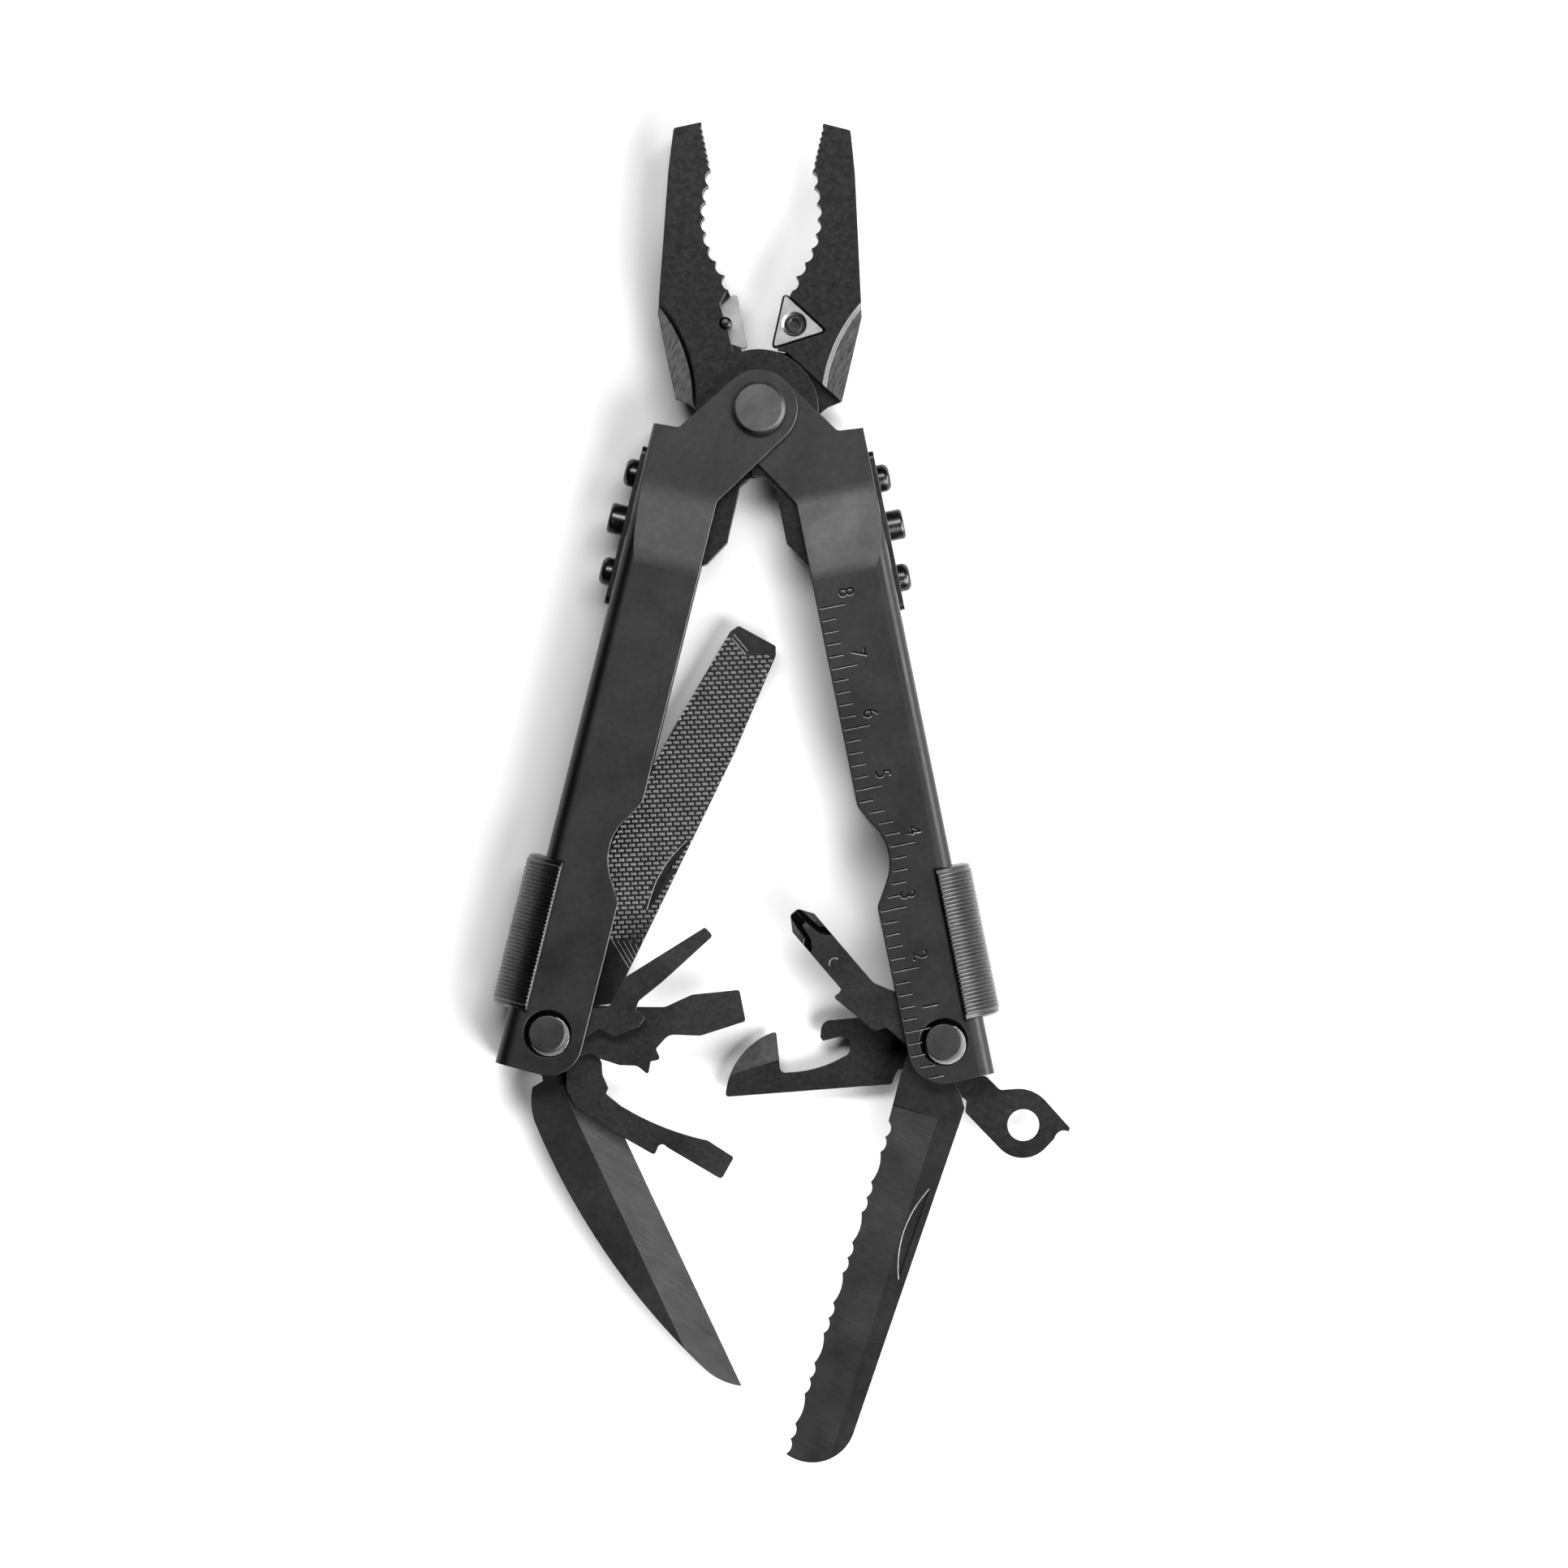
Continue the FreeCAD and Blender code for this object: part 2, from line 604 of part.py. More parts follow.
def release_button(side):
    """The button that frees the head, with a flange that keeps it inside the spine."""
    label = f"{SIDE_NAME[side]}_release_button"
    body = new_body(label)
    sketch = new_sketch(body, "Profile")
    sketch.AttachmentOffset = Placement(Vector(0, -size("button_down"), 0), Rotation())
    radius = size("button_radius")
    draw(sketch, mirrored([(13.95, 0), (13.95, radius + 0.6), (14.6, radius + 0.6),
                           (14.6, radius), (18.7, radius),
                           (19.25, radius - 0.15, 19.4, radius - 0.7), (19.5, 0)], side))
    revolve(body, sketch, "H_Axis")
    on_handle(body, side, label)


def slide_lock(side):
    """A ribbed sleeve hooked round the spine. It slides along the handle to free a tool."""
    label = f"{SIDE_NAME[side]}_slide_lock"
    body = new_body(label)
    crown, top, bottom = size("lock_crown"), size("lock_top"), size("lock_bottom")
    pitch, rib = 0.63, 0.2
    count = int((bottom - top - 1.6) / pitch)
    start = -top - (bottom - top - count * pitch) / 2
    profile = [(0, -top), (crown - 1.0, -top), (crown - 0.25, -top - 0.35)]
    for number in range(count):
        upper = start - number * pitch
        profile += [(crown - rib, upper), (crown, upper - pitch * 0.3),
                    (crown, upper - pitch * 0.7)]
    profile += [(crown - rib, start - count * pitch), (crown - 0.25, -bottom + 0.35),
                (crown - 1.0, -bottom), (0, -bottom)]
    sketch = new_sketch(body, "Ribs")
    sketch.setExpression("AttachmentOffset.Base.x", bound(f"{side} * [lock_centre]"))
    draw(sketch, mirrored(profile, side))
    revolve(body, sketch, "V_Axis")

    front, back, inner = size("lock_front"), size("lock_back"), size("lock_inner")
    outer = new_sketch(body, "Trim", "XZ_Plane", "[lock_top] - 5")
    for level, beyond in ((front, 12), (-back, -12)):
        draw(outer, mirrored([(-5, beyond), (25, beyond), (25, level), (-5, level)], side))
    pocket(body, outer, THROUGH, reverse=True)

    # The mouth leaves the sleeve's two lips, which are rounded, hooked over the plates.
    lip, turn, bend = size("lock_lip"), size("lip_round"), size("spine_bend")
    edge = size("spine_out") + 0.05
    arc = turn * (1 - math.sqrt(0.5))
    mouth = new_sketch(body, "Mouth", "XZ_Plane", "[lock_top] - 5")
    draw(mouth, mirrored([(-5, front + 1), (lip + turn, front + 1), (lip + turn, front),
                          (lip + arc, front - arc, lip, front - turn), (lip, inner),
                          (edge, inner, bend), (edge, -inner, bend), (lip, -inner),
                          (lip, turn - back), (lip + arc, arc - back, lip + turn, -back),
                          (lip + turn, -back - 1), (-5, -back - 1)], side))
    pocket(body, mouth, THROUGH, reverse=True)
    on_handle(body, side, label)


def lock_bar(side):
    """The bar inside the spine whose end stands against the tool tangs."""
    label = f"{SIDE_NAME[side]}_lock_bar"
    body = new_body(label)
    bar = [(13.8, -84.0), (14.6, -84.0), (14.6, -100.7, 0.3), (13.8, -100.7, 0.3)]
    layer(body, mirrored(bar, side), "-0.6", "5.1")
    stem = [(14.2, -91.2), (size("spine_out") + 0.04, -91.2), (size("spine_out") + 0.04, -96.4),
            (14.2, -96.4)]
    layer(body, mirrored(stem, side), "0.2", "3.5")
    on_handle(body, side, label)


def lock_spring(side):
    """The coil between the handle's tab and the lock bar."""
    label = f"{SIDE_NAME[side]}_lock_spring"
    wire, radius = size("wire_radius"), size("coil_radius")
    length, turns = 12.05, 9
    helix = Part.makeHelix(length / turns, length, radius)
    section = Part.Wire(Part.makeCircle(wire, Vector(radius, 0, 0), Vector(0, 1, 0)))
    coil = Part.Wire(helix).makePipeShell([section], True, True)
    stand = Placement(Vector(side * 13.72, -83.72, 2.0), Rotation(Vector(1, 0, 0), -90))
    spring = doc.addObject("Part::Feature", label)
    spring.Shape = coil.transformGeometry(stand.toMatrix())
    on_handle(spring, side, label)


# ---------------------------------------------------------------- folding tools
# A tool's outline is given as (along, across): along from its axle, and across from the
# handle's spine side towards its open side.

def across(outline, side):
    """Turns (along, across) items into the tool's own frame."""
    turned = []
    for item in outline:
        if len(item) == 4:
            turned.append((-side * item[1], item[0], -side * item[3], item[2]))
        else:
            turned.append((-side * item[1], item[0]) + tuple(item[2:]))
    return turned


def blank(side, name, outline):
    """A flat tool: its round tang with a lock notch, and the blade cut to its outline."""
    body = new_body(name)
    low, thick = f"[{name}_low]", f"[{name}_thick]"
    tang = new_sketch(body, "Tang", offset=low)
    ring(tang, (0, 0), "[tang_radius]")
    pad(body, tang, thick)
    layer(body, across(outline, side), low, thick)
    notch = new_sketch(body, "LockNotch")
    reach = size("tang_radius")
    ring(notch, (-side * reach * 0.64, -reach * 0.77), "[notch_radius]")
    pocket(body, notch, THROUGH, symmetric=True)
    bore(body, (0, 0), "[axle_radius] + [fit]")
    return body


def faces_of(name):
    """The height of a tool's middle plane and half its thickness."""
    half = size(f"{name}_thick") / 2
    return size(f"{name}_low") + half, half


def finish_tool(body, side, name):
    on_axle(body, side, f"{side} * [{name}_turn]", name)


def wedge(body, side, name, start, length, section, lean=0.0):
    """Grinds both faces of a blade: a three-cornered groove run along it from start."""
    middle, _ = faces_of(name)
    for face in (1, -1):
        sketch = new_sketch(body, "Grind", "XZ_Plane")
        turn = Rotation(Vector(0, 1, 0), math.degrees(math.atan(lean)) * side)
        sketch.AttachmentOffset = Placement(Vector(0, 0, -start), turn)
        draw(sketch, [(-side * b, middle + face * z) for b, z in section])
        pocket(body, sketch, str(length))


def flat_tip(body, side, name, start, length, tip):
    """Thins a driver's end on both faces, from full thickness at start to tip thickness."""
    middle, half = faces_of(name)
    for face in (1, -1):
        sketch = new_sketch(body, "Taper", "YZ_Plane")
        draw(sketch, [(start, middle + face * half), (start, middle + face * (half + 1)),
                      (start + length, middle + face * (half + 1)),
                      (start + length, middle + face * tip / 2)])
        pocket(body, sketch, THROUGH, symmetric=True)


def nail_nick(body, side, name, items, depth):
    """A shallow groove in the front face for a fingernail."""
    cut_layer(body, across(items, side), f"[{name}_low] + [{name}_thick]", str(depth))


def file_tool():
    name = "file"
    body = blank(LEFT, name, [
        (1.0, 3.6), (6.0, 4.0), (7.2, 4.8, 0.8), (8.7, 7.0, 0.8), (13.9, 7.1), (30.7, 6.8),
        (54.3, 6.3), (71.5, 5.1), (72.9, 4.4, 0.5), (73.1, -2.5, 0.5), (71.6, -3.3),
        (54.4, -4.3), (37.0, -4.8), (12.0, -4.8, 2.0), (6.0, -2.6, 1.0), (1.0, -3.0)])
    nail_nick(body, LEFT, name, [(25.0, 5.3), (30.0, 4.5, 32.6, 4.6), (35.0, 5.0, 38.0, 6.0),
                                 (31.5, 5.6, 25.0, 5.3)], 0.5)
    tip = new_sketch(body, "TipBevel", offset="[file_low] + [file_thick]")
    draw(tip, across([(72.8, 8.0), (76.0, 8.0), (76.0, -7.0), (73.0, -7.0), (70.0, 1.0)], LEFT))
    pocket(body, tip, "0.25")
    finish_tool(body, LEFT, name)


def small_driver():
    name = "small_driver"
    body = blank(LEFT, name, [
        (2.0, -3.4), (8.3, 0.7, 0.7), (10.4, 2.1, 1.0), (15.6, -0.5, 1.0), (30.8, 0.0, 0.4),
        (31.1, 1.9, 0.5), (20.1, 3.5), (15.2, 3.9, 0.8), (14.1, 4.8, 0.5), (14.7, 6.7, 0.7),
        (13.0, 7.4, 0.8), (8.6, 6.4, 0.8), (7.4, 3.9, 1.0), (4.0, 4.0), (1.0, 3.0)])
    flat_tip(body, LEFT, name, 22.0, 10.0, 0.7)
    finish_tool(body, LEFT, name)


def medium_driver():
    name = "medium_driver"
    body = blank(LEFT, name, [
        (2.0, -4.4), (14.7, -2.2, 3.0), (19.4, -1.5, 2.0), (24.0, -2.9, 2.0),
        (31.8, -2.6, 0.5), (32.1, 2.6, 0.5), (24.5, 3.9, 2.0), (19.4, 3.0, 2.0),
        (17.0, 5.0, 0.6), (17.5, 6.8, 0.4), (15.9, 6.9, 0.3), (15.2, 9.0, 0.3),
        (13.6, 7.3, 1.5), (10.8, 6.8, 0.8), (7.7, 5.3, 0.8), (6.3, 4.2, 0.8), (3.0, 4.6)])
    flat_tip(body, LEFT, name, 21.0, 11.5, 0.9)
    finish_tool(body, LEFT, name)


def large_driver():
    name = "large_driver"
    body = blank(LEFT, name, [
        (1.0, -4.5), (7.4, -2.6, 0.8), (10.0, -0.9, 1.0), (11.2, 0.6, 0.4), (13.2, 1.8, 0.2),
        (13.4, 2.8, 0.4), (16.5, 3.0), (24.4, 1.8, 31.3, -0.5), (36.4, -0.7, 0.4),
        (36.8, 3.4, 0.6), (26.4, 4.2),
        (25.4, 4.5, 25.4, 5.3), (25.6, 6.4, 0.5), (20.3, 6.9), (10.6, 7.4, 1.5),
        (7.6, 5.8, 1.0), (5.6, 2.8), (1.0, 3.0)])
    flat_tip(body, LEFT, name, 29.0, 8.5, 0.9)
    finish_tool(body, LEFT, name)


def knife_blade():
    name = "knife_blade"
    body = blank(LEFT, name, [
        (2.0, -4.2), (8.0, -1.2, 1.0), (10.6, -3.3, 1.0), (20.0, -3.9), (65.6, -3.9),
        (63.4, -1.4, 60.1, 0.5), (36.5, 6.9, 13.2, 8.3), (9.8, 7.7, 7.0, 6.2),
        (6.8, 4.2, 0.3), (4.0, 3.6), (1.0, 3.0)])
    wedge(body, LEFT, name, 9.0, 62, [(1.9, 1.0), (1.9, 1.6), (-4.6, 1.6), (-4.6, 0.02)])
    finish_tool(body, LEFT, name)


def serrated_blade():
    name = "serrated_blade"
    outline = [(2.0, -4.9), (6.8, -4.8, 0.5), (15.2, -4.2)]
    small, slope = 2.57, 0.0258
    widths = [1, 1] + [2, 1, 1] * 5
    here = 15.2
    for number, width in enumerate(widths):
        step = width * small
        deep = -3.35 + slope * (here + step / 2 - 17.8)
        here += step
        outline.append((here - step / 2, deep, here, -3.9 + slope * (here - 17.8)))
    outline += [(70.9, 3.6, 65.0, 6.85), (9.2, 6.85, 0.8), (7.4, 5.6, 0.8), (5.6, 3.6),
                (1.0, 3.0)]
    body = blank(RIGHT, name, outline)
    wedge(body, RIGHT, name, 12.2, 65,
          [(3.25, 0.95), (3.25, 1.6), (-8.0, 1.6), (-8.0, 0.0), (-4.4, 0.1)], lean=0.022)
    nail_nick(body, RIGHT, name, [(23.6, 5.7), (31.0, 3.9, 38.8, 5.7)], 0.5)
    finish_tool(body, RIGHT, name)


def phillips_driver():
    name = "phillips_driver"
    body = blank(RIGHT, name, [
        (2.0, -4.4), (11.6, 0.9, 0.5), (14.6, 2.45, 2.4), (29.4, 2.45), (31.75, 4.0, 0.8),
        (31.75, 5.6, 0.8), (29.4, 7.1), (17.2, 7.1, 0.2), (17.0, 7.8, 0.2), (17.1, 8.9, 0.4),
        (8.6, 7.4, 0.7), (7.9, 5.6, 0.4), (4.0, 5.0), (1.0, 3.0)])
    middle, half = faces_of(name)
    upper = [(24.4, 7.6), (26.2, 7.6), (27.4, 6.3), (32.5, 5.7), (32.5, 5.1), (29.3, 5.15),
             (26.6, 5.6), (25.4, 6.4)]
    ridge_line = 4.78
    lower = [(along, 2 * ridge_line - level) for along, level in reversed(upper)]
    slot = [(29.3, 5.2), (32.5, 5.2), (32.5, 4.4), (29.3, 4.4)]
    for face in (1, -1):
        taper = new_sketch(body, "TipTaper", "YZ_Plane")
        draw(taper, [(28.4, middle + face * half), (28.4, middle + face * 2),
                     (33.0, middle + face * 2), (33.0, middle + face * 0.2)])
        pocket(body, taper, THROUGH, symmetric=True)
        for groove, depth in ((upper, "1.0"), (lower, "1.0"), (slot, "0.9")):
            flute = new_sketch(body, "Flute", offset=str(middle + face * half))
            draw(flute, across(groove, RIGHT))
            pocket(body, flute, depth, reverse=face < 0)
    finish_tool(body, RIGHT, name)


HOOK_SLOPE = 15.0                    # degrees


def can_opener():
    name = "can_opener"
    body = blank(RIGHT, name, [
        (2.0, -4.9), (14.3, -4.65), (17.6, -4.6), (19.1, -4.2, 19.65, -3.1), (19.85, -2.0),
        (19.5, -1.35, 0.3), (17.0, -1.75), (15.55, -1.4, 15.15, -0.2), (15.4, 0.95, 16.4, 1.55),
        (20.5, 2.95, 25.6, 3.35), (26.5, 3.15, 26.8, 2.4), (26.95, -3.3, 0.2),
        (27.8, -3.3, 0.2), (33.3, 0.4, 36.0, 6.2), (35.7, 6.55, 0.2), (8.8, 6.55, 0.7),
        (8.0, 4.9, 0.4), (7.6, 4.3, 0.4), (5.0, 3.9), (1.0, 3.0)])
    # The hook's cutting side is ground to a slope that starts from a line across it.
    start, end = Vector(-1.14, 26.9), Vector(-2.9, 34.5)
    heading = math.degrees(math.atan2(end.y - start.y, end.x - start.x))
    middle, half = faces_of(name)
    grind = new_sketch(body, "HookBevel")
    grind.AttachmentOffset = Placement(Vector(start.x, start.y, middle + half),
                                       Rotation(heading, 0, HOOK_SLOPE))
    draw(grind, [(-3, 0), (-3, -14), (16, -14), (16, 0)])
    pocket(body, grind, "4", reverse=True)
    finish_tool(body, RIGHT, name)


def lanyard_ring():
    name = "lanyard_ring"
    body = blank(RIGHT, name, [
        (1.0, -4.6), (8.5, -4.2, 0.8), (9.7, -3.9, 0.4), (11.0, -5.4, 0.4), (16.0, -5.4),
        (19.0, -5.4), (22.8, -3.8, 24.2, 0.1), (24.1, 2.2), (23.8, 3.2, 24.9, 4.6),
        (24.6, 5.2, 0.2), (19.0, 5.35), (16.2, 4.9, 14.0, 3.3), (12.3, 1.2, 1.0),
        (9.0, 1.1, 1.0), (6.2, -2.4), (1.0, 3.0)])
    bore(body, (0, 19.0), "[lanyard_hole]")
    finish_tool(body, RIGHT, name)


# ---------------------------------------------------------------- the whole tool

for hand in (LEFT, RIGHT):
    handle(hand)
    jaw(hand)
    cutter_insert(hand)
    insert_screw(hand)
    tool_axle(hand)
    snap_ring(hand)
    spring_plate(hand)
    plate_screws(hand)
    release_button(hand)
    slide_lock(hand)
    lock_bar(hand)
    lock_spring(hand)
jaw_pin()
ear_rivet("front_ear_rivet", 1)
ear_rivet("rear_ear_rivet", -1)
washers(LEFT, [(-3.85, -3.45), (-1.35, -0.55), (1.22, 1.38), (3.15, 4.85)])
washers(RIGHT, [(-4.35, -2.35), (-0.75, 1.25), (3.22, 3.38)])
for tool in (file_tool, small_driver, medium_driver, large_driver, knife_blade,
             phillips_driver, can_opener, serrated_blade, lanyard_ring):
    tool()
doc.recompute()

for thing in doc.Objects:
    if "Invalid" in thing.State or "Error" in thing.State:
        raise RuntimeError(f"{thing.Label} did not build: {thing.State}")
for label, thing in made.items():
    if thing.Shape.isNull() or not thing.Shape.isValid():
        raise RuntimeError(f"{label} has no valid shape")

os.makedirs("parts", exist_ok=True)
for label, thing in made.items():
    thing.Shape.exportStep(f"parts/{label}.step")

whole = Part.makeCompound([thing.Shape for thing in made.values()]).BoundBox
print(f"{len(made)} nodes, {whole.XLength:.2f} x {whole.YLength:.2f} x {whole.ZLength:.2f} mm, "
      f"centre {whole.Center.x:.2f}, {whole.Center.y:.2f}, lowest {whole.ZMin:.2f}")
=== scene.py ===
import json
import math

import bpy
from mathutils import Matrix, Vector


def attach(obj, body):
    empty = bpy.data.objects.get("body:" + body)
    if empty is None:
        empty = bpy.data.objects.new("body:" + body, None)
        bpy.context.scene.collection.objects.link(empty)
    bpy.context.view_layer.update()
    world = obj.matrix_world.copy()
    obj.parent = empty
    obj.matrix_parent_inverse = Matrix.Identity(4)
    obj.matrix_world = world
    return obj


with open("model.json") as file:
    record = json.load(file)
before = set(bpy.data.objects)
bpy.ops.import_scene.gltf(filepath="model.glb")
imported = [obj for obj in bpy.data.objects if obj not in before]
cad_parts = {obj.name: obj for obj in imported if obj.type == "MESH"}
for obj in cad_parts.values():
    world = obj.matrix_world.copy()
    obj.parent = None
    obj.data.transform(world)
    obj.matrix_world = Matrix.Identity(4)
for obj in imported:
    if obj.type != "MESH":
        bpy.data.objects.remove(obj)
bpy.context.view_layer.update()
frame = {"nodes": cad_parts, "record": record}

MM = 0.001

# ------------------------------------------------------------------ layout, in millimetres
PIVOT = (-3.7, 62.5)                 # the pliers' pivot, seen from above
MID_HEIGHT = 8.7                     # the tool's middle plane over the floor
TILT = {"left": 13.9, "right": 11.5}  # degrees that each handle leans from upright
PLATE_TOP = MID_HEIGHT + 7.8
AXLE_OUT, AXLE_DOWN = 8.9, 106.6     # the tool axle from the pivot, along its handle


def on_handle(side, out, down):
    """A point in mm from distances outwards and downwards from the pivot along a handle."""
    sign = -1 if side == "left" else 1
    turn = math.radians(sign * TILT[side])
    x, y = sign * out, -down
    return (PIVOT[0] + x * math.cos(turn) - y * math.sin(turn),
            PIVOT[1] + x * math.sin(turn) + y * math.cos(turn))


AXLE = {side: on_handle(side, AXLE_OUT, AXLE_DOWN) for side in TILT}


def on_tool(side, turn, along, across):
    """A point in mm from a tool's own distances along its length and across from its spine."""
    sign = -1 if side == "left" else 1
    angle = math.radians(sign * turn)
    x, y = -sign * across, along
    return (AXLE[side][0] + x * math.cos(angle) - y * math.sin(angle),
            AXLE[side][1] + x * math.sin(angle) + y * math.cos(angle))


# ------------------------------------------------------------------ materials

def link(tree, start, end):
    """Joins an output of a node tree to an input."""
    tree.links.new(start, end)


def noise(tree, coords, scale, detail=4.0, rough=0.55, stretch=None, turn=0.0):
    """A noise value over the object's own coordinates, drawn out along one direction if asked."""
    where = coords
    if stretch:
        turned = tree.nodes.new("ShaderNodeMapping")
        turned.inputs["Rotation"].default_value = (0, 0, turn)
        stretched = tree.nodes.new("ShaderNodeMapping")
        stretched.inputs["Scale"].default_value = stretch
        link(tree, coords, turned.inputs["Vector"])
        link(tree, turned.outputs["Vector"], stretched.inputs["Vector"])
        where = stretched.outputs["Vector"]
    node = tree.nodes.new("ShaderNodeTexNoise")
    node.inputs["Scale"].default_value = scale
    node.inputs["Detail"].default_value = detail
    node.inputs["Roughness"].default_value = rough
    link(tree, where, node.inputs["Vector"])
    return node.outputs["Fac"]


def spread(tree, value, low, high, start=0.3, end=0.7):
    """Maps a value's stretch from start to end onto low to high."""
    node = tree.nodes.new("ShaderNodeMapRange")
    node.inputs["From Min"].default_value = start
    node.inputs["From Max"].default_value = end
    node.inputs["To Min"].default_value = low
    node.inputs["To Max"].default_value = high
    link(tree, value, node.inputs["Value"])
    return node.outputs["Result"]


def mixed(tree, factor, first, second):
    """The first colour where the factor is nought, and the second where it is one."""
    node = tree.nodes.new("ShaderNodeMix")
    node.data_type = "RGBA"
    for socket, value in zip(node.inputs[6:8], (first, second)):     # its two colour sockets
        if isinstance(value, tuple):
            socket.default_value = value + (1.0,)
        else:
            link(tree, value, socket)
    link(tree, factor, node.inputs[0])
    return node.outputs[2]


def times(tree, first, second):
    """The product of two values, either of which may be a plain number."""
    node = tree.nodes.new("ShaderNodeMath")
    node.operation = "MULTIPLY"
    for socket, value in zip(node.inputs, (first, second)):
        if isinstance(value, float):
            socket.default_value = value
        else:
            link(tree, value, socket)
    return node.outputs[0]


def grey(value):
    return (value, value, value)


def axes_of(tree, name):
    """The three parts of one of the object's own vectors, such as its place or its normal."""
    split = tree.nodes.new("ShaderNodeSeparateXYZ")
    where = tree.nodes.new("ShaderNodeTexCoord").outputs[name]
    link(tree, where, split.inputs["Vector"])
    return split.outputs


def slope_mask(tree):
    """One on the gently sloping faces that a blade's grind leaves, and nought elsewhere."""
    upward = tree.nodes.new("ShaderNodeMath")
    upward.operation = "ABSOLUTE"
    link(tree, axes_of(tree, "Normal")["Z"], upward.inputs[0])
    tipped = spread(tree, upward.outputs[0], 1.0, 0.0, 0.9985, 0.9996)
    gentle = spread(tree, upward.outputs[0], 0.0, 1.0, 0.80, 0.90)
    return times(tree, tipped, gentle)


def facet_mask(tree):
    """One on steep facets that face to the right, where a painted highlight goes, and nought
    elsewhere.
    """
    normal = axes_of(tree, "Normal")
    leaning = spread(tree, normal["Z"], 0.0, 1.0, 0.25, 0.40)
    steep = spread(tree, normal["Z"], 1.0, 0.0, 0.65, 0.80)
    rightward = spread(tree, normal["X"], 0.0, 1.0, 0.20, 0.45)
    return times(tree, times(tree, leaning, steep), rightward)


def height_mask(tree, low, high):
    """One on level faces between two heights in mm, and nought elsewhere."""
    height = axes_of(tree, "Object")["Z"]
    above = spread(tree, height, 0.0, 1.0, (low - 0.02) * MM, low * MM)
    below = spread(tree, height, 1.0, 0.0, high * MM, (high + 0.02) * MM)
    level = spread(tree, axes_of(tree, "Normal")["Z"], 0.0, 1.0, 0.9980, 0.9992)
    return times(tree, times(tree, above, below), level)


def metal(name, dark, light, rough, worn, wear=0.5, edge=0.16, grain=0.25,
          brush=None, brush_turn=0.0, brush_depth=0.15, mottle_scale=420.0, patch_low=0.35,
          grind=None, right_highlight=None, band=None):
    """Coated or ground steel: mottled coat, fine grain, brushing, and edges rubbed brighter.

    grind is the tone of gently sloping faces, and the facet tone is a painted highlight on steep
    faces that face to the right.
    band is (low, high, tone, least): a level in mm, its tone and how even the tone lies; a dark
    even band is painted shade, and a light uneven one is a scratched face."""
    material = bpy.data.materials.new(name)
    material.use_nodes = True
    tree = material.node_tree
    shader = tree.nodes["Principled BSDF"]
    coords = tree.nodes.new("ShaderNodeTexCoord").outputs["Object"]

    mottle = noise(tree, coords, mottle_scale, 5.0, 0.6)
    coat = mixed(tree, spread(tree, mottle, 0.0, 1.0), grey(dark), grey(light))
    if grind:
        streaks = spread(tree, noise(tree, coords, 1.0, 4.0, 0.65, brush, brush_turn), 0.0, 1.0)
        cut = mixed(tree, streaks, grey(grind * 0.86), grey(grind * 1.12))
        coat = mixed(tree, slope_mask(tree), coat, cut)
    # A painted highlight: steep faces that face to the right take a lighter tone.
    if right_highlight:
        coat = mixed(tree, facet_mask(tree), coat, grey(right_highlight))
    if band:
        low, high, tone, least = band
        scratches = noise(tree, coords, 1.0, 4.0, 0.65, (2600, 500, 600), 0.4)
        # A dark, even band is painted shade on a recessed level; a light band is broken up by
        # scratches.
        painted_shade_and_scuff = times(tree, height_mask(tree, low, high), spread(tree, scratches, least, 1.0))
        coat = mixed(tree, painted_shade_and_scuff, coat, grey(tone))

    # The angle between the true normal and one rounded over the edges shows where coat wears off.
    rounded = tree.nodes.new("ShaderNodeBevel")
    rounded.samples = 4
    rounded.inputs["Radius"].default_value = edge * MM
    flat = tree.nodes.new("ShaderNodeNewGeometry").outputs["Normal"]
    turn = tree.nodes.new("ShaderNodeVectorMath")
    turn.operation = "DOT_PRODUCT"
    link(tree, rounded.outputs["Normal"], turn.inputs[0])
    link(tree, flat, turn.inputs[1])
    rubbed = spread(tree, turn.outputs["Value"], 1.0, 0.0, 0.80, 0.985)
    patchy = spread(tree, noise(tree, coords, 900.0, 3.0), patch_low, 1.0, 0.35, 0.6)
    rubbed = times(tree, times(tree, rubbed, patchy), float(wear))
    link(tree, mixed(tree, rubbed, coat, grey(worn)), shader.inputs["Base Color"])

    smudge = noise(tree, coords, 130.0, 3.0)
    dusty = spread(tree, smudge, rough - 0.04, rough + 0.05)
    link(tree, dusty, shader.inputs["Roughness"])
    shader.inputs["Metallic"].default_value = 1.0

    bump = tree.nodes.new("ShaderNodeBump")
    bump.inputs["Strength"].default_value = grain
    bump.inputs["Distance"].default_value = 0.03 * MM
    link(tree, noise(tree, coords, 5200.0, 2.0), bump.inputs["Height"])
    link(tree, rounded.outputs["Normal"], bump.inputs["Normal"])
    surface = bump
    if brush:
        lines = tree.nodes.new("ShaderNodeBump")
        lines.inputs["Strength"].default_value = brush_depth
        lines.inputs["Distance"].default_value = 0.04 * MM
        streaks = noise(tree, coords, 1.0, 3.0, 0.6, brush, brush_turn)
        link(tree, streaks, lines.inputs["Height"])
        link(tree, bump.outputs["Normal"], lines.inputs["Normal"])
        surface = lines
    link(tree, surface.outputs["Normal"], shader.inputs["Normal"])
    return material


